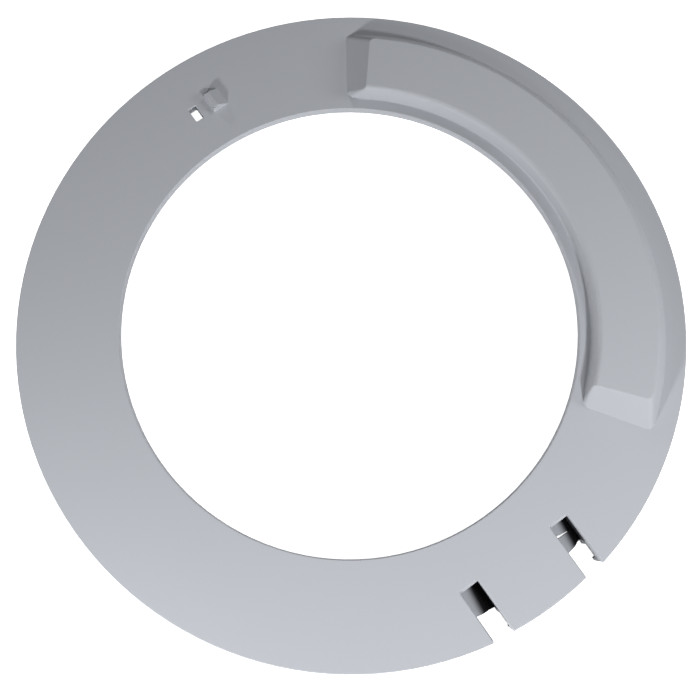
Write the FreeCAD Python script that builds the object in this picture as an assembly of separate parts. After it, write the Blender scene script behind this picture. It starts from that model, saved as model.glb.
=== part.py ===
import FreeCAD, Part
import math
import os

from FreeCAD import Vector

# Driving dimensions, millimetres
# The visible face is the plane Z = 0 and faces +Z. The ring axis is Z.
# The hinge side is +X, the latch side is -X and the raised block lies on +Y.
rim_radius = 195.0
rim_edge_bevel = 0.5
opening_radius = 134.0
opening_edge_bevel = 0.4
opening_wall_depth = 5.5
opening_wall_thickness = 2.5
plate_thickness = 2.5

# The two round walls behind the face
skirt_depth = 18.0
skirt_thickness = 2.5
inner_wall_thickness = 2.6

# Raised block on the face
block_height = 11.0
block_ledge_width = 7.0
block_inner_lean = 0.8
block_inner_top_radius = 3.2
block_foot_radius = 1.2
block_rim_margin = 12.0
block_outer_lean = 7.7
block_outer_top_radius = 2.0
block_half_angle = 55.1
block_top_half_angle = 50.4
block_end_edge_radius = 1.2
block_corner_radius = 5.0
block_wall = 2.6

# Hinge notches in the rim and the pockets behind them
notch_offset = 31.0
notch_width = 12.1
notch_length = 35.2
notch_bevel = 0.7
notch_end_bevel = 1.4
notch_flange_depth = 9.2
notch_flange_thickness = 2.2
pocket_wall = 2.2
pocket_floor_depth = 12.0
pocket_trench_depth = 15.8
roll_start_inner = 6.4
roll_radius_inner = 5.0
roll_start_outer = 2.0
roll_radius_outer = 9.0
lower_notch_roll_shift = -1.6
slit_inset = 7.3
slit_width = 1.6
slit_start = 1.9
slit_length = 6.8
slit_tip_width = 0.4
slit_relief_margin = 1.6
tongue_step = 0.8
tongue_bevel = 1.0
mouth_corner_bevel = 0.6

# Latch hole and the wedge beside it
latch_rim_margin = 34.0
latch_hole_length = 9.2
latch_hole_width = 5.2
latch_hole_corner_radius = 0.8
latch_collar_depth = 5.7
latch_collar_wall = 1.8
latch_edge_bevel = 0.4
latch_recess_depth = 2.2
latch_recess_width = 2.4
latch_recess_start = 1.0
latch_recess_floor = 1.4
wedge_shift = -0.2
wedge_length = 12.1
wedge_y_low = 9.7
wedge_flat = 4.3
wedge_run = 5.8
wedge_height = 4.4
wedge_draft = 0.5
wedge_front_draft = 0.9
wedge_bevel = 0.5
wedge_wall = 2.0

# Ribs and screw bosses behind the face
rib_count = 16
rib_thickness = 1.8
rib_end_gap = 6.0
boss_count = 8
boss_rim_margin = 36.0
boss_radius = 4.6
boss_end_gap = 1.5
boss_hole_radius = 1.6
boss_hole_depth = 12.0
boss_edge_bevel = 0.5

# Sizes that follow from the ones above
block_inner_radius = opening_radius + block_ledge_width
block_outer_radius = rim_radius - block_rim_margin
inner_wall_outer_radius = block_outer_radius
inner_wall_inner_radius = inner_wall_outer_radius - inner_wall_thickness
notch_inner_x = rim_radius - notch_length
slit_x = notch_inner_x + slit_inset
latch_hole_x = latch_rim_margin - rim_radius
wedge_x_low = latch_hole_x + wedge_shift - wedge_length / 2.0
boss_circle_radius = rim_radius - boss_rim_margin
boss_pitch = 360.0 / boss_count
rib_pitch = 360.0 / rib_count
overlap = 0.4
reach = 4.0 * skirt_depth
Z_AXIS = Vector(0, 0, 1)
ORIGIN = Vector(0, 0, 0)


def round_corner(before, corner, after, radius):
    """Start, middle and end of the arc that rounds one corner of a profile."""
    inward = (before - corner).normalize()
    onward = (after - corner).normalize()
    half = inward.getAngle(onward) / 2.0
    run = radius / math.tan(half)
    centre = corner + (inward + onward).normalize() * (radius / math.sin(half))
    start = corner + inward * run
    end = corner + onward * run
    middle = centre + (corner - centre).normalize() * radius
    return start, middle, end


def rounded_wire(corners):
    """Closed wire through (point, radius) pairs, with an arc where the radius isn't zero."""
    points = [Vector(*place) for place, radius in corners]
    count = len(points)
    stretches = []
    for index, (place, radius) in enumerate(corners):
        point = points[index]
        if radius > 0.0:
            before = points[index - 1]
            after = points[(index + 1) % count]
            stretches.append(round_corner(before, point, after, radius))
        else:
            stretches.append((point, None, point))
    edges = []
    for index, (start, middle, end) in enumerate(stretches):
        if middle is not None:
            edges.append(Part.Arc(start, middle, end).toShape())
        following = stretches[(index + 1) % count][0]
        if end.distanceToPoint(following) > 1e-6:
            edges.append(Part.LineSegment(end, following).toShape())
    return Part.Wire(edges)


def turned(corners, angle=360.0, start_angle=0.0):
    """Solid turned about the ring axis from (radius, z) corners, each with its own rounding."""
    section = [((radial, 0.0, z), rounding) for radial, z, rounding in corners]
    solid = Part.Face(rounded_wire(section)).revolve(ORIGIN, Z_AXIS, angle)
    solid.rotate(ORIGIN, Z_AXIS, start_angle)
    return solid


def cuboid(length_x, length_y, length_z, low):
    """Upright box from its lowest corner."""
    return Part.makeBox(length_x, length_y, length_z, Vector(*low))


def ring_shell():
    """Face plate with the opening wall, the inner round wall and the outer skirt."""
    rim_inner = rim_radius - skirt_thickness
    opening_outer = opening_radius + opening_wall_thickness
    return turned([
        (opening_radius, -opening_edge_bevel, 0.0),
        (opening_radius + opening_edge_bevel, 0.0, 0.0),
        (rim_radius - rim_edge_bevel, 0.0, 0.0),
        (rim_radius, -rim_edge_bevel, 0.0),
        (rim_radius, -skirt_depth, 0.0),
        (rim_inner, -skirt_depth, 0.0),
        (rim_inner, -plate_thickness, 0.0),
        (inner_wall_outer_radius, -plate_thickness, 0.0),
        (inner_wall_outer_radius, -skirt_depth, 0.0),
        (inner_wall_inner_radius, -skirt_depth, 0.0),
        (inner_wall_inner_radius, -plate_thickness, 0.0),
        (opening_outer, -plate_thickness, 0.0),
        (opening_outer, -opening_wall_depth, 0.0),
        (opening_radius, -opening_wall_depth, 0.0),
    ])


def sector_loft(inset, low_z, high_z):
    """Wedge of the block's angle, whose end faces lean from the base angle to the top angle."""
    inner = opening_radius / 2.0
    outer = rim_radius + skirt_depth
    middle_radius = (block_inner_radius + block_outer_radius) / 2.0
    lean = math.radians(block_half_angle - block_top_half_angle) / block_height
    run = lean * middle_radius
    pull_in = inset * math.hypot(1.0, run) / middle_radius
    wires = []
    for z in (low_z, high_z):
        half = math.radians(block_half_angle) - pull_in - lean * z
        first = math.pi / 2.0 - half
        last = math.pi / 2.0 + half
        corner = [
            Vector(radius * math.cos(angle), radius * math.sin(angle), z)
            for radius, angle in ((inner, first), (outer, first), (outer, last), (inner, last))
        ]
        outer_middle = Vector(0.0, outer, z)
        inner_middle = Vector(0.0, inner, z)
        wires.append(Part.Wire([
            Part.LineSegment(corner[0], corner[1]).toShape(),
            Part.Arc(corner[1], outer_middle, corner[2]).toShape(),
            Part.LineSegment(corner[2], corner[3]).toShape(),
            Part.Arc(corner[3], inner_middle, corner[0]).toShape(),
        ]))
    return Part.makeLoft(wires, True, True)


def raised_block(inset, low_z):
    """The block's outer form, or with an inset the hollow inside it."""
    inner_slope = block_inner_lean / block_height
    outer_slope = block_outer_lean / block_height
    inner_shift = inset * math.hypot(1.0, inner_slope)
    outer_shift = inset * math.hypot(1.0, outer_slope)
    top = block_height - inset
    inner_base = block_inner_radius + inner_shift
    outer_base = block_outer_radius - outer_shift
    section = [
        (inner_base + inner_slope * low_z, low_z, 0.0),
        (outer_base - outer_slope * low_z, low_z, 0.0),
        (outer_base - outer_slope * top, top, 0.0),
        (inner_base + inner_slope * top, top, block_inner_top_radius - inset),
    ]
    sweep = 2.0 * block_half_angle + rib_pitch
    ring = turned(section, sweep, 90.0 - sweep / 2.0)
    return ring.common(sector_loft(inset, low_z - overlap, block_height + overlap))


def rounding_at(point):
    """Rounding of the block's upper edges at a point, wide only where its ends meet the face."""
    if point.z < 0.0:
        return block_corner_radius
    if math.hypot(point.x, point.y) > block_outer_radius - block_outer_lean - overlap:
        return block_outer_top_radius
    return block_end_edge_radius


def on_block_end(point):
    """Whether a point above the face lies on one of the two leaning ends."""
    lean = (block_half_angle - block_top_half_angle) / block_height
    angle = abs(math.degrees(math.atan2(point.x, point.y)))
    return point.z > 0.0 and abs(angle - (block_half_angle - lean * point.z)) < 0.05


def on_outer_half(point):
    """Whether a point lies outside the middle circle of the block."""
    return 2.0 * math.hypot(point.x, point.y) > block_inner_radius + block_outer_radius


def on_outer_corner(point):
    """Whether a point lies on an upright edge between an end and the outer wall."""
    return on_block_end(point) and on_outer_half(point) and point.z < block_height - overlap


def on_upper_edge(point):
    """Whether a point lies on the outer rim of the top, or where an end meets top or inner wall."""
    on_rim = on_outer_half(point) and point.z > block_height - overlap
    return on_rim or (on_block_end(point) and not on_outer_half(point))


def block_edges(solid, is_chosen):
    """Numbers of the edges whose middle is chosen, with their ends in order from +X to -X."""
    chosen = []
    for number, edge in enumerate(solid.Edges, 1):
        middle = edge.valueAt((edge.FirstParameter + edge.LastParameter) / 2.0)
        if is_chosen(middle):
            ends = sorted([vertex.Point for vertex in edge.Vertexes], key=lambda point: -point.x)
            chosen.append((number, ends[0], ends[-1]))
    return chosen


def rounded_off(workshop, solid, edges):
    """Solid with the numbered edges rounded, each from its first radius to its second."""
    sharp = workshop.addObject("Part::Feature", "sharp")
    sharp.Shape = solid
    rounded = workshop.addObject("Part::Fillet", "rounded")
    rounded.Base = sharp
    rounded.Edges = edges
    workshop.recompute()
    return rounded.Shape


def hollow_block():
    """Outer form with rounded ends and rim, and the hollow to take out of it and the plate."""
    workshop = FreeCAD.newDocument("block")
    form = raised_block(0.0, -overlap)
    corners = [
        (number, block_corner_radius, block_corner_radius)
        for number, first, last in block_edges(form, on_outer_corner)
    ]
    form = rounded_off(workshop, form, corners)
    upper = [
        (number, rounding_at(first), rounding_at(last))
        for number, first, last in block_edges(form, on_upper_edge)
    ]
    form = rounded_off(workshop, form, upper)
    return form, raised_block(block_wall, -plate_thickness - overlap)


def foot_round():
    """Small rounding between the face and the foot of the block's inner wall."""
    radius = block_foot_radius
    slope = block_inner_lean / block_height
    wall_top = block_inner_radius + slope * radius
    foot = block_inner_radius - radius
    middle = Vector(
        foot + radius * math.sin(math.pi / 4.0),
        0.0,
        radius - radius * math.cos(math.pi / 4.0),
    )
    section = Part.Wire([
        Part.Arc(Vector(foot, 0.0, 0.0), middle, Vector(wall_top, 0.0, radius)).toShape(),
        Part.LineSegment(
            Vector(wall_top, 0.0, radius),
            Vector(wall_top + overlap, 0.0, radius),
        ).toShape(),
        Part.LineSegment(
            Vector(wall_top + overlap, 0.0, radius),
            Vector(wall_top + overlap, 0.0, -overlap),
        ).toShape(),
        Part.LineSegment(
            Vector(wall_top + overlap, 0.0, -overlap),
            Vector(foot, 0.0, -overlap),
        ).toShape(),
        Part.LineSegment(Vector(foot, 0.0, -overlap), Vector(foot, 0.0, 0.0)).toShape(),
    ])
    sweep = 2.0 * block_half_angle + rib_pitch
    ring = Part.Face(section).revolve(ORIGIN, Z_AXIS, sweep)
    ring.rotate(ORIGIN, Z_AXIS, 90.0 - sweep / 2.0)
    return ring.common(sector_loft(block_corner_radius, -2.0 * overlap, block_height))


def envelope():
    """Everything between the opening wall and the inner round wall, up to the face and the block."""
    inner = opening_radius + opening_wall_thickness / 2.0
    outer = inner_wall_outer_radius - inner_wall_thickness / 2.0
    band = turned([
        (inner, -plate_thickness / 2.0, 0.0),
        (outer, -plate_thickness / 2.0, 0.0),
        (outer, -skirt_depth, 0.0),
        (inner, -skirt_depth, 0.0),
    ])
    return band.fuse(raised_block(block_wall / 2.0, -plate_thickness))


def radial_rib(angle):
    """Upright web from the opening wall to the inner round wall, deeper at its outer end."""
    inner = opening_radius + opening_wall_thickness / 2.0
    outer = inner_wall_outer_radius - inner_wall_thickness / 2.0
    inner_low = -opening_wall_depth
    outer_low = -skirt_depth + rib_end_gap
    half = rib_thickness / 2.0
    outline = rounded_wire([
        ((inner, -half, inner_low), 0.0),
        ((outer, -half, outer_low), 0.0),
        ((outer, -half, block_height), 0.0),
        ((inner, -half, block_height), 0.0),
    ])
    rib = Part.Face(outline).extrude(Vector(0, rib_thickness, 0))
    rib.rotate(ORIGIN, Z_AXIS, angle)
    return rib


def rib_places():
    """Angles of the ribs: one through each boss and one between, with none at the latch hole."""
    angles = [rib_pitch * index for index in range(rib_count)]
    return [angle for angle in angles if abs(angle - 180.0) > rib_pitch / 2.0]


def boss_places():
    """Angles of the screw bosses, half a pitch away from the hinge and latch axes."""
    return [boss_pitch * (index + 0.5) for index in range(boss_count)]


def boss(angle):
    """Round post for a screw, with a small bevel at its end."""
    low = -skirt_depth + boss_end_gap
    section = rounded_wire([
        ((0.0, 0.0, low), 0.0),
        ((boss_radius - boss_edge_bevel, 0.0, low), 0.0),
        ((boss_radius, 0.0, low + boss_edge_bevel), 0.0),
        ((boss_radius, 0.0, block_height), 0.0),
        ((0.0, 0.0, block_height), 0.0),
    ])
    post = Part.Face(section).revolve(ORIGIN, Z_AXIS, 360.0)
    post.translate(Vector(boss_circle_radius, 0, 0))
    post.rotate(ORIGIN, Z_AXIS, angle)
    return post


def boss_hole(angle):
    """Blind hole for the screw, open at the back."""
    low = -skirt_depth + boss_end_gap
    hole = Part.makeCylinder(boss_hole_radius, boss_hole_depth + overlap, Vector(0, 0, low - overlap))
    hole.translate(Vector(boss_circle_radius, 0, 0))
    hole.rotate(ORIGIN, Z_AXIS, angle)
    return hole


def notch_sides(centre_y):
    """The notch's two side walls, as Y values."""
    low = centre_y - notch_width / 2.0
    return low, low + notch_width


def notch_cut(centre_y):
    """Slot in the face from the pocket's inner end out through the rim, with bevelled edges."""
    low, high = notch_sides(centre_y)
    length = rim_radius + overlap - notch_inner_x
    slot = cuboid(
        length,
        notch_width,
        notch_flange_depth + overlap,
        (notch_inner_x, low, -notch_flange_depth),
    )
    side_bevel = notch_bevel
    top = overlap
    wide_low = low - side_bevel - top
    wide_high = high + side_bevel + top
    side = Part.Face(rounded_wire([
        ((notch_inner_x, low, -side_bevel), 0.0),
        ((notch_inner_x, high, -side_bevel), 0.0),
        ((notch_inner_x, wide_high, top), 0.0),
        ((notch_inner_x, wide_low, top), 0.0),
    ])).extrude(Vector(length, 0, 0))
    end_run = notch_end_bevel + top
    end = Part.Face(rounded_wire([
        ((notch_inner_x, low, -notch_end_bevel), 0.0),
        ((notch_inner_x + end_run, low, -notch_end_bevel), 0.0),
        ((notch_inner_x + end_run, low, top), 0.0),
        ((notch_inner_x - end_run, low, top), 0.0),
    ])).extrude(Vector(0, notch_width, 0))
    return slot.fuse([side, end])


def notch_flange(centre_y):
    """Side walls that stiffen the notch between its pocket and the rim."""
    low = notch_sides(centre_y)[0]
    length = rim_radius - notch_inner_x
    width = notch_width + 2.0 * notch_flange_thickness
    walls = cuboid(
        length,
        width,
        notch_flange_depth - overlap,
        (notch_inner_x, low - notch_flange_thickness, -notch_flange_depth),
    )
    rim = turned([
        (opening_radius, -overlap, 0.0),
        (rim_radius - skirt_thickness / 2.0, -overlap, 0.0),
        (rim_radius - skirt_thickness / 2.0, -skirt_depth, 0.0),
        (opening_radius, -skirt_depth, 0.0),
    ])
    return walls.common(rim)


def pocket_box(centre_y):
    """Walls and floor of the pocket, deeper under the trench, before its inside is taken out."""
    low, high = notch_sides(centre_y)
    shift = lower_notch_roll_shift if centre_y < 0.0 else 0.0
    near_x = notch_inner_x - pocket_wall
    far_x = inner_wall_outer_radius
    floor_low = -pocket_floor_depth - pocket_wall
    tray = cuboid(
        far_x - near_x,
        notch_width + 2.0 * pocket_wall,
        -floor_low - overlap,
        (near_x, low - pocket_wall, floor_low),
    )
    trench = Part.Face(rounded_wire([
        ((near_x, low + roll_start_inner + shift, -skirt_depth), 0.0),
        ((far_x, low + roll_start_outer + shift, -skirt_depth), 0.0),
        ((far_x, high + pocket_wall, -skirt_depth), 0.0),
        ((near_x, high + pocket_wall, -skirt_depth), 0.0),
    ])).extrude(Vector(0, 0, skirt_depth - overlap))
    inside = Part.makeCylinder(inner_wall_inner_radius + overlap, skirt_depth, Vector(0, 0, -skirt_depth))
    return tray.fuse(trench).common(inside)


def pocket_profile(x, centre_y, roll_start, roll_radius):
    """Section of the pocket across the notch: a flat floor that rolls over into a trench."""
    low, high = notch_sides(centre_y)
    begin = low + roll_start
    drop = pocket_trench_depth - pocket_floor_depth
    turn = math.acos(1.0 - drop / roll_radius)
    points = []
    for share in (0.0, 0.5, 1.0):
        angle = turn * share
        y = begin + roll_radius * math.sin(angle)
        z = -pocket_floor_depth - roll_radius * (1.0 - math.cos(angle))
        points.append(Vector(x, y, z))
    corners = [
        points[2],
        Vector(x, high, -pocket_trench_depth),
        Vector(x, high, overlap),
        Vector(x, low, overlap),
        Vector(x, low, -pocket_floor_depth),
        points[0],
    ]
    edges = [Part.LineSegment(a, b).toShape() for a, b in zip(corners, corners[1:])]
    edges.append(Part.Arc(*points).toShape())
    return Part.Wire(edges)


def pocket_space(centre_y):
    """Room inside the pocket, whose floor rolls over earlier towards the rim."""
    low = notch_sides(centre_y)[0]
    shift = lower_notch_roll_shift if centre_y < 0.0 else 0.0
    inner = pocket_profile(notch_inner_x, centre_y, roll_start_inner + shift, roll_radius_inner)
    outer = pocket_profile(rim_radius, centre_y, roll_start_outer + shift, roll_radius_outer)
    room = Part.makeLoft([inner, outer], True, True)
    gap = cuboid(rim_radius, notch_width, reach, (0.0, low, -reach / 2.0))
    beyond = turned([
        (inner_wall_inner_radius, reach, 0.0),
        (rim_radius + overlap, reach, 0.0),
        (rim_radius + overlap, -reach, 0.0),
        (inner_wall_inner_radius, -reach, 0.0),
    ])
    return room.fuse(gap.common(beyond))


def pocket_slit(centre_y):
    """Narrow gap that tapers across the pocket floor, with the floor thinned around it."""
    low = notch_sides(centre_y)[0]
    start = low + slit_start
    end = start + slit_length
    far_x = slit_x + slit_width
    outline = rounded_wire([
        ((slit_x, start, -reach), 0.0),
        ((far_x, start, -reach), 0.0),
        ((far_x, end, -reach), 0.0),
        ((far_x - slit_tip_width, end, -reach), 0.0),
    ])
    slit = Part.Face(outline).extrude(Vector(0, 0, reach - plate_thickness))
    relief = cuboid(
        slit_width + 2.0 * slit_relief_margin,
        slit_length + 2.0 * slit_relief_margin,
        reach - pocket_floor_depth - pocket_wall,
        (slit_x - slit_relief_margin, start - slit_relief_margin, -reach),
    )
    return slit.fuse(relief)


def tongue_trim():
    """Ring segment that sets the tongue between the notches back from the rim, with a bevel."""
    half_width = notch_offset - notch_width / 2.0
    edge = rim_radius - tongue_step
    outside = rim_radius + overlap
    half_angle = math.degrees(math.atan2(notch_offset, edge))
    cutter = turned([
        (edge - tongue_bevel - overlap, overlap, 0.0),
        (outside, overlap, 0.0),
        (outside, -skirt_depth - overlap, 0.0),
        (edge, -skirt_depth - overlap, 0.0),
        (edge, -tongue_bevel, 0.0),
    ], 2.0 * half_angle, -half_angle)
    limit = cuboid(
        rim_radius,
        2.0 * half_width + notch_width,
        reach,
        (overlap, -half_width - notch_width / 2.0, -reach / 2.0),
    )
    return cutter.common(limit)


def mouth_corners(centre_y):
    """Small bevels on the upright edges where the notch opens through the rim."""
    cutters = []
    for wall_y, outward in zip(notch_sides(centre_y), (-1.0, 1.0)):
        on_tongue = wall_y * outward * centre_y < 0.0
        edge = rim_radius - tongue_step if on_tongue else rim_radius
        wall_x = math.sqrt(edge * edge - wall_y * wall_y)
        size = mouth_corner_bevel + overlap
        outline = rounded_wire([
            ((wall_x - mouth_corner_bevel, wall_y, -reach / 2.0), 0.0),
            ((wall_x + size, wall_y - outward * overlap, -reach / 2.0), 0.0),
            ((wall_x + size, wall_y + outward * size, -reach / 2.0), 0.0),
            ((wall_x, wall_y + outward * mouth_corner_bevel, -reach / 2.0), 0.0),
        ])
        cutters.append(Part.Face(outline).extrude(Vector(0, 0, reach)))
    return cutters


def latch_outline(grow, z):
    """Rounded rectangle around the latch hole."""
    half_length = latch_hole_length / 2.0 + grow
    half_width = latch_hole_width / 2.0 + grow
    rounding = latch_hole_corner_radius + grow
    return rounded_wire([
        ((latch_hole_x - half_length, -half_width, z), rounding),
        ((latch_hole_x + half_length, -half_width, z), rounding),
        ((latch_hole_x + half_length, half_width, z), rounding),
        ((latch_hole_x - half_length, half_width, z), rounding),
    ])


def latch_recess(grow, low_z, high_z):
    """Block of space, or with grow the walls around it, beside the outer end of the latch hole."""
    edge_x = latch_hole_x - latch_hole_length / 2.0
    high_y = latch_hole_width / 2.0
    return cuboid(
        latch_recess_depth + 2.0 * grow + overlap,
        latch_recess_width + 2.0 * grow,
        high_z - low_z,
        (edge_x - latch_recess_depth - grow, high_y - latch_recess_width - grow, low_z),
    )


def latch_collar():
    """Tube behind the face that guides the latch hook."""
    outline = latch_outline(latch_collar_wall, -latch_collar_depth)
    tube = Part.Face(outline).extrude(Vector(0, 0, latch_collar_depth - overlap))
    return tube.fuse(latch_recess(latch_collar_wall, -latch_collar_depth, -overlap))


def latch_cut():
    """Through hole with a bevel at the face, and the recess where the hook catches."""
    hole = Part.Face(latch_outline(0.0, -reach / 2.0)).extrude(Vector(0, 0, reach))
    narrow = latch_outline(0.0, -latch_edge_bevel)
    wide = latch_outline(latch_edge_bevel + overlap, overlap)
    bevel = Part.makeLoft([narrow, wide], True, True)
    catch = latch_recess(0.0, latch_recess_floor - latch_collar_depth, -latch_recess_start)
    return hole.fuse([bevel, catch])


def wedge_form(inset, low_z):
    """Leaning sides, a steep front, a flat top and a long slope that runs out into the face."""
    top = wedge_height - inset
    fall = math.atan2(wedge_height, wedge_run)
    draft = wedge_draft / wedge_height
    front = wedge_front_draft / wedge_height
    slope_shift = inset / math.sin(fall)
    sections = []
    for z in (low_z, top):
        low_x = wedge_x_low + inset + draft * z
        high_x = wedge_x_low + wedge_length - inset - draft * z
        low_y = wedge_y_low + inset + front * z
        high_y = wedge_y_low + wedge_flat + (wedge_height - z) / math.tan(fall) - slope_shift
        sections.append(rounded_wire([
            ((low_x, low_y, z), 0.0),
            ((high_x, low_y, z), 0.0),
            ((high_x, high_y, z), 0.0),
            ((low_x, high_y, z), 0.0),
        ]))
    return Part.makeLoft(sections, True, True)


def wedge_solid():
    """Wedge on the face with its upper edges lightly bevelled."""
    solid = wedge_form(0.0, -overlap)
    upper = []
    for edge in solid.Edges:
        middle = edge.valueAt((edge.FirstParameter + edge.LastParameter) / 2.0)
        if middle.z > wedge_height - overlap:
            upper.append(edge)
    return solid.makeChamfer(wedge_bevel, upper)


def wedge_hollow():
    """Room inside the wedge, open at the back."""
    return wedge_form(wedge_wall, -plate_thickness - overlap)


def door_frame():
    """The whole moulding, built up from its walls and then cut."""
    block_outer, block_hollow = hollow_block()
    notch_centres = (notch_offset, -notch_offset)
    body = ring_shell().fuse([foot_round(), wedge_solid()])
    body = body.fuse(block_outer).cut([block_hollow, wedge_hollow()])

    inside = envelope()
    webs = [radial_rib(angle) for angle in rib_places()]
    posts = [boss(angle) for angle in boss_places()]
    stiffening = [piece.common(inside) for piece in webs + posts]
    body = body.fuse(stiffening)

    additions = [latch_collar()]
    for centre in notch_centres:
        additions.append(notch_flange(centre))
        additions.append(pocket_box(centre))
    body = body.fuse(additions)

    cuts = [latch_cut(), tongue_trim(), pocket_slit(notch_offset)]
    for centre in notch_centres:
        cuts.append(pocket_space(centre))
    cuts += [boss_hole(angle) for angle in boss_places()]
    for centre in notch_centres:
        cuts.append(notch_cut(centre))
        cuts += mouth_corners(centre)
    body = body.cut(cuts)
    return body.removeSplitter()


os.makedirs("parts", exist_ok=True)
door_frame().exportStep("parts/door_frame.step")
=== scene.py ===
import math

import bmesh
import bpy
from mathutils import Matrix, Vector


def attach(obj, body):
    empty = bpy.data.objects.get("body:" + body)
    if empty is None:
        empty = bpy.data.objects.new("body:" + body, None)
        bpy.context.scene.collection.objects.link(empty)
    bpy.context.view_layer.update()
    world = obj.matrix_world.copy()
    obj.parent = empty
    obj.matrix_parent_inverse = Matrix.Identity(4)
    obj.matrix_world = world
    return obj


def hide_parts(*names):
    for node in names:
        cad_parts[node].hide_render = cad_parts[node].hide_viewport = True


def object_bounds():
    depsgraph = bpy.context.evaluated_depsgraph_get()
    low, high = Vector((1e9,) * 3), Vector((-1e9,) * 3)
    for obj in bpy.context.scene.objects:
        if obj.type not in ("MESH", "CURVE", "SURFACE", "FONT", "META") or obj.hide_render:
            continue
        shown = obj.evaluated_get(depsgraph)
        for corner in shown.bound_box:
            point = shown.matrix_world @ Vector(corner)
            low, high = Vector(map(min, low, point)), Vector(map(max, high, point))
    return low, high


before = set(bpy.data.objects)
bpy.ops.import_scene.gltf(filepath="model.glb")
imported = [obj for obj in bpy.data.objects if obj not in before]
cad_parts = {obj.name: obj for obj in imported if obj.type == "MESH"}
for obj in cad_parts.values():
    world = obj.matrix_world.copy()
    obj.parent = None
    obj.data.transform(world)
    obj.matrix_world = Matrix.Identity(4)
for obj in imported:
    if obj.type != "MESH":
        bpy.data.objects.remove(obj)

cad_low, cad_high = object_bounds()


# The light table.
# A large sheet of white acrylic, lit from below. The eye sees it plain white, so that no shadow
# shows on it, while it throws no more light at the ring than a sheet of white paper.
table_size = 6.0
paper_white = (0.9, 0.9, 0.9, 1.0)
paper_roughness = 0.9
glow_white = (1.0, 1.0, 1.0, 1.0)

table_mesh = bpy.data.meshes.new("light_table")
table_form = bmesh.new()
bmesh.ops.create_grid(table_form, x_segments=1, y_segments=1, size=table_size / 2.0)
bmesh.ops.translate(table_form, verts=table_form.verts, vec=(0.0, 0.0, cad_low.z))
table_form.to_mesh(table_mesh)
table_form.free()
table = bpy.data.objects.new("light_table", table_mesh)
bpy.context.scene.collection.objects.link(table)

acrylic = bpy.data.materials.new("white_acrylic")
acrylic.use_nodes = True
acrylic_shader = acrylic.node_tree.nodes["Principled BSDF"]
acrylic_shader.inputs["Base Color"].default_value = paper_white
acrylic_shader.inputs["Roughness"].default_value = paper_roughness
acrylic_shader.inputs["Specular IOR Level"].default_value = 0.0
acrylic_shader.inputs["Emission Color"].default_value = glow_white
table_sight = acrylic.node_tree.nodes.new("ShaderNodeLightPath")
acrylic.node_tree.links.new(
    table_sight.outputs["Is Camera Ray"], acrylic_shader.inputs["Emission Strength"]
)
table_mesh.materials.append(acrylic)


# The camera.
# It looks down on the ring from the hinge side, a little over half a metre above the face,
# with the raised block at the upper right of the picture.
picture_side = 700.0
focal_length_pixels = 893.0
centre_pixel = (325.0, 350.0)
sensor_width = 36.0
tip_back = -0.1813
turn_left = -0.0251
stand_off = Vector((0.0133929, 0.0152607, -0.520))
ring_turn = math.radians(55.0)

lens = bpy.data.cameras.new("camera")
lens.sensor_width = sensor_width
lens.lens = focal_length_pixels * sensor_width / picture_side
lens.shift_x = (picture_side / 2.0 - centre_pixel[0]) / picture_side
lens.shift_y = (centre_pixel[1] - picture_side / 2.0) / picture_side
tilt = Matrix.Rotation(tip_back, 3, "X") @ Matrix.Rotation(turn_left, 3, "Y")
camera = bpy.data.objects.new("camera", lens)
camera.matrix_world = (
    Matrix.Rotation(ring_turn, 4, "Z")
    @ Matrix.Translation(tilt.transposed() @ -stand_off)
    @ tilt.transposed().to_4x4()
)
bpy.context.scene.collection.objects.link(camera)
bpy.context.scene.camera = camera


# The door frame.
# One injection moulding: face plate, raised block, skirt, hinge pockets and latch wedge come out
# of the mould together. The mould slightly rounds the edges round the face and on the wedge.
edge_softness = 0.0002
edge_steps = 2
round_profile = 0.5
sharp_angle = math.radians(28.0)
face_level = (-0.0016, 0.00005)
wedge_low = Vector((-0.168, 0.008, -0.0001))
wedge_high = Vector((-0.153, 0.022, 0.007))
foot_side = 0.075
foot_radii = (0.137, 0.146)
foot_bottom = -0.0003
foot_end_angle = math.radians(80.0)
merge_gap = 0.000001
flat_angle = math.radians(0.3)
large_face_weight = 60


def is_round_foot(edge):
    """Edge of the small round at the foot of the block, on the side of the opening."""
    return all(
        end.co.y > foot_side
        and end.co.z > foot_bottom
        and foot_radii[0] < end.co.xy.length < foot_radii[1]
        for end in edge.verts
    )


def is_soft_edge(edge):
    """Sharp edge that lies at the level of the face or on the wedge."""
    if edge.calc_face_angle() < sharp_angle or is_round_foot(edge):
        return False
    ends = [vertex.co for vertex in edge.verts]
    at_face = all(face_level[0] < end.z < face_level[1] for end in ends)
    on_wedge = all(
        wedge_low[axis] < end[axis] < wedge_high[axis] for end in ends for axis in range(3)
    )
    return at_face or on_wedge


moulding_mesh = bpy.data.meshes.new("moulding")
moulding_form = bmesh.new()
moulding_form.from_mesh(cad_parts["door_frame"].data)
bmesh.ops.remove_doubles(moulding_form, verts=moulding_form.verts, dist=merge_gap)
bmesh.ops.dissolve_limit(
    moulding_form, angle_limit=flat_angle, verts=moulding_form.verts, edges=moulding_form.edges
)
for edge in moulding_form.edges:
    bend = edge.calc_face_angle()
    on_foot = is_round_foot(edge) and bend < foot_end_angle
    edge.smooth = bend < sharp_angle or on_foot or is_soft_edge(edge)
bmesh.ops.bevel(
    moulding_form,
    geom=[edge for edge in moulding_form.edges if is_soft_edge(edge)],
    offset=edge_softness,
    offset_type="OFFSET",
    segments=edge_steps,
    profile=round_profile,
    affect="EDGES",
    material=-1,
    clamp_overlap=False,
)
for face in moulding_form.faces:
    face.smooth = True
moulding_form.to_mesh(moulding_mesh)
moulding_form.free()
moulding = bpy.data.objects.new("moulding", moulding_mesh)
bpy.context.scene.collection.objects.link(moulding)
even_shading = moulding.modifiers.new("even_shading", "WEIGHTED_NORMAL")
even_shading.mode = "FACE_AREA"
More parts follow.
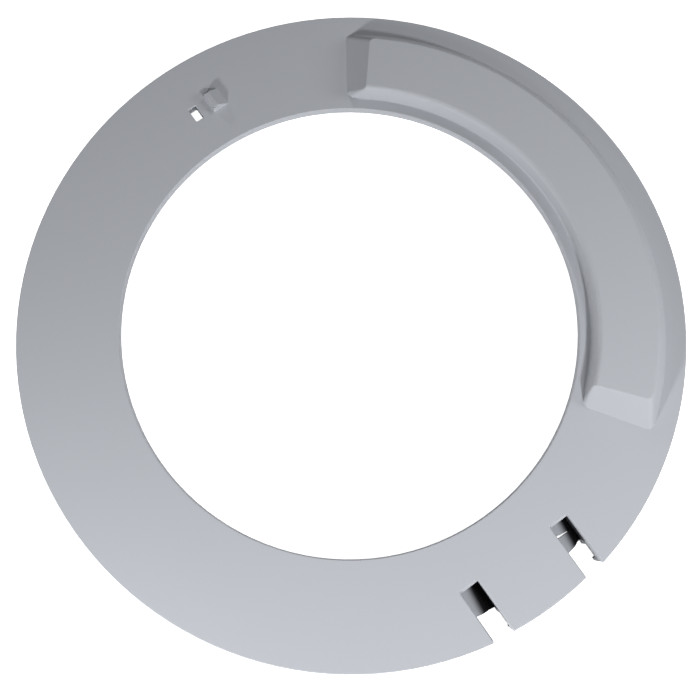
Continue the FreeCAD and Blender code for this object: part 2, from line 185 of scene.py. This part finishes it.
even_shading.weight = large_face_weight
even_shading.keep_sharp = True
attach(moulding, "root")
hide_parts("door_frame")


# The plastic.
# Grey and coloured all through, with a faint drift in its tone. The steel mould is spark-eroded to
# a fine matte grain on the side that shows and is plain on the hidden side, which shines more.
face_grey = (0.428, 0.4445, 0.478, 1.0)
face_grey_dull = (0.416, 0.432, 0.465, 1.0)
drift_scale = 9.0
drift_detail = 3.0
grain_scale = 1500.0
grain_detail = 2.0
grain_height = 0.00003
grain_strength = 0.5
hidden_side_top = -0.0040
show_side_bottom = -0.0020
hidden_roughness = 0.45
face_roughness = 0.75

plastic = bpy.data.materials.new("grey_plastic")
plastic.use_nodes = True
nodes = plastic.node_tree.nodes
links = plastic.node_tree.links
plastic_shader = nodes["Principled BSDF"]
place = nodes.new("ShaderNodeTexCoord").outputs["Object"]


def figure(operation, *values):
    """Math node fed with numbers and with the outputs of other nodes."""
    node = nodes.new("ShaderNodeMath")
    node.operation = operation
    for socket, value in zip(node.inputs, values):
        if isinstance(value, float):
            socket.default_value = value
        else:
            links.new(value, socket)
    return node.outputs["Value"]


def fade(value, start, end):
    """Smooth step from 0 at the start to 1 at the end."""
    node = nodes.new("ShaderNodeMapRange")
    node.interpolation_type = "SMOOTHSTEP"
    node.inputs["From Min"].default_value = start
    node.inputs["From Max"].default_value = end
    links.new(value, node.inputs["Value"])
    return node.outputs["Result"]


def noise(scale, detail):
    """Noise texture that lies in the plastic."""
    node = nodes.new("ShaderNodeTexNoise")
    node.inputs["Scale"].default_value = scale
    node.inputs["Detail"].default_value = detail
    links.new(place, node.inputs["Vector"])
    return node.outputs["Fac"]


spot = nodes.new("ShaderNodeSeparateXYZ")
links.new(place, spot.inputs["Vector"])
along, sideways, level = spot.outputs["X"], spot.outputs["Y"], spot.outputs["Z"]
on_show = fade(level, hidden_side_top, show_side_bottom)

relief = nodes.new("ShaderNodeBump")
relief.inputs["Distance"].default_value = grain_height
links.new(figure("MULTIPLY", on_show, grain_strength), relief.inputs["Strength"])
links.new(noise(grain_scale, grain_detail), relief.inputs["Height"])
links.new(relief.outputs["Normal"], plastic_shader.inputs["Normal"])

sheen = figure("MULTIPLY_ADD", on_show, face_roughness - hidden_roughness, hidden_roughness)
links.new(sheen, plastic_shader.inputs["Roughness"])

tint = nodes.new("ShaderNodeMix")
tint.data_type = "RGBA"
tint.inputs["A"].default_value = face_grey
tint.inputs["B"].default_value = face_grey_dull
links.new(noise(drift_scale, drift_detail), tint.inputs["Factor"])


# Painted shade in the hinge pockets.
# Deep in each pocket, the trench and the wall beside it are painted nearly black, as painted shade
# for the deep shadow there. The painted shade fades out across the trench, farther from the wall
# in the pocket away from the block.
# Near-black colour for the painted shade deep in the pockets.
pocket_painted_shade = (0.010, 0.010, 0.011, 1.0)
pocket_middle = 0.031
pocket_half_width = 0.0060
wall_margin = 0.0002
pocket_inner_end = 0.1597
pocket_reach = 0.1809
trench_bottom = -0.0161
trench_top = -0.0119
wall_light_bottom = -0.0030
wall_dark_top = -0.0060
wall_darkness = 0.88
black_edge_start = 0.00088
upper_edge_shift = 0.00108
black_slant = 0.13
black_fade = 0.0028
plastic_specular = 0.5

notch_side = figure("SIGN", sideways)
across = figure("SUBTRACT", sideways, figure("MULTIPLY", notch_side, pocket_middle))
inwards = figure("SUBTRACT", along, pocket_inner_end)
black_edge = figure("MULTIPLY_ADD", notch_side, upper_edge_shift, black_edge_start)
slanted = figure("MULTIPLY", inwards, black_slant)
past_edge = figure("ADD", figure("SUBTRACT", across, black_edge), slanted)
from_centre = nodes.new("ShaderNodeVectorMath")
from_centre.operation = "LENGTH"
links.new(place, from_centre.inputs[0])
in_pocket = figure("GREATER_THAN", along, pocket_inner_end)
for test in (
    figure("LESS_THAN", from_centre.outputs["Value"], pocket_reach),
    figure("LESS_THAN", across, pocket_half_width + wall_margin),
    figure("GREATER_THAN", level, trench_bottom),
    figure("LESS_THAN", level, wall_light_bottom),
):
    in_pocket = figure("MULTIPLY", in_pocket, test)
on_wall = figure("MULTIPLY", figure("GREATER_THAN", across, pocket_half_width), wall_darkness)
in_trench = figure("LESS_THAN", level, trench_top)
wall_painted_shade = figure("MULTIPLY", on_wall, fade(level, wall_light_bottom, wall_dark_top))
trench_painted_shade = figure("MULTIPLY", in_trench, fade(past_edge, -black_fade, black_fade))
# Mask of the painted shade, on the wall and in the trench of each pocket.
painted_shade_mask = figure("MULTIPLY", figure("MAXIMUM", wall_painted_shade, trench_painted_shade), in_pocket)

colour = nodes.new("ShaderNodeMix")
colour.data_type = "RGBA"
colour.inputs["B"].default_value = pocket_painted_shade
links.new(tint.outputs["Result"], colour.inputs["A"])
links.new(painted_shade_mask, colour.inputs["Factor"])
links.new(colour.outputs["Result"], plastic_shader.inputs["Base Color"])
# Where the shade is painted, the plastic loses its shine as well.
specular = figure("MULTIPLY_ADD", painted_shade_mask, -plastic_specular, plastic_specular)
links.new(specular, plastic_shader.inputs["Specular IOR Level"])
moulding_mesh.materials.append(plastic)


# The studio lights.
# Six white lamps on stands: two at the near left and near right, and four farther away that fill
# the shadows. The far wall is white paper, too far off to light the ring.
bpy.context.scene.view_settings.view_transform = "Standard"
room = bpy.data.worlds.new("white_room")
bpy.context.scene.world = room
room.use_nodes = True
far_wall = room.node_tree.nodes["Background"]
far_wall.inputs["Color"].default_value = glow_white
wall_sight = room.node_tree.nodes.new("ShaderNodeLightPath")
room.node_tree.links.new(wall_sight.outputs["Is Camera Ray"], far_wall.inputs["Strength"])


def studio_lamp(name, distance, height_angle, compass_angle, size, power):
    """Square lamp that faces the middle of the ring, in metres, degrees and watts."""
    lamp = bpy.data.lights.new(name, "AREA")
    lamp.shape = "SQUARE"
    lamp.size = size
    lamp.energy = power
    up = math.radians(height_angle)
    around = math.radians(compass_angle) + ring_turn
    outwards = Vector(
        (math.cos(around) * math.cos(up), math.sin(around) * math.cos(up), math.sin(up))
    )
    stand = bpy.data.objects.new(name, lamp)
    stand.location = outwards * distance
    stand.rotation_euler = outwards.to_track_quat("Z", "Y").to_euler()
    bpy.context.scene.collection.objects.link(stand)


studio_lamp("near_left_lamp", 0.7, 22.0, 235.0, 0.056, 3.477)
studio_lamp("near_right_lamp", 0.7, 45.0, -46.0, 0.07, 2.4)
studio_lamp("near_lamp", 1.5, 35.0, 280.0, 0.15, 3.058)
studio_lamp("right_lamp", 1.5, 24.0, 5.0, 0.5, 6.1)
studio_lamp("far_right_lamp", 1.5, 42.0, 55.0, 0.15, 3.746)
studio_lamp("far_left_lamp", 1.5, 15.0, 135.0, 0.15, 2.6)
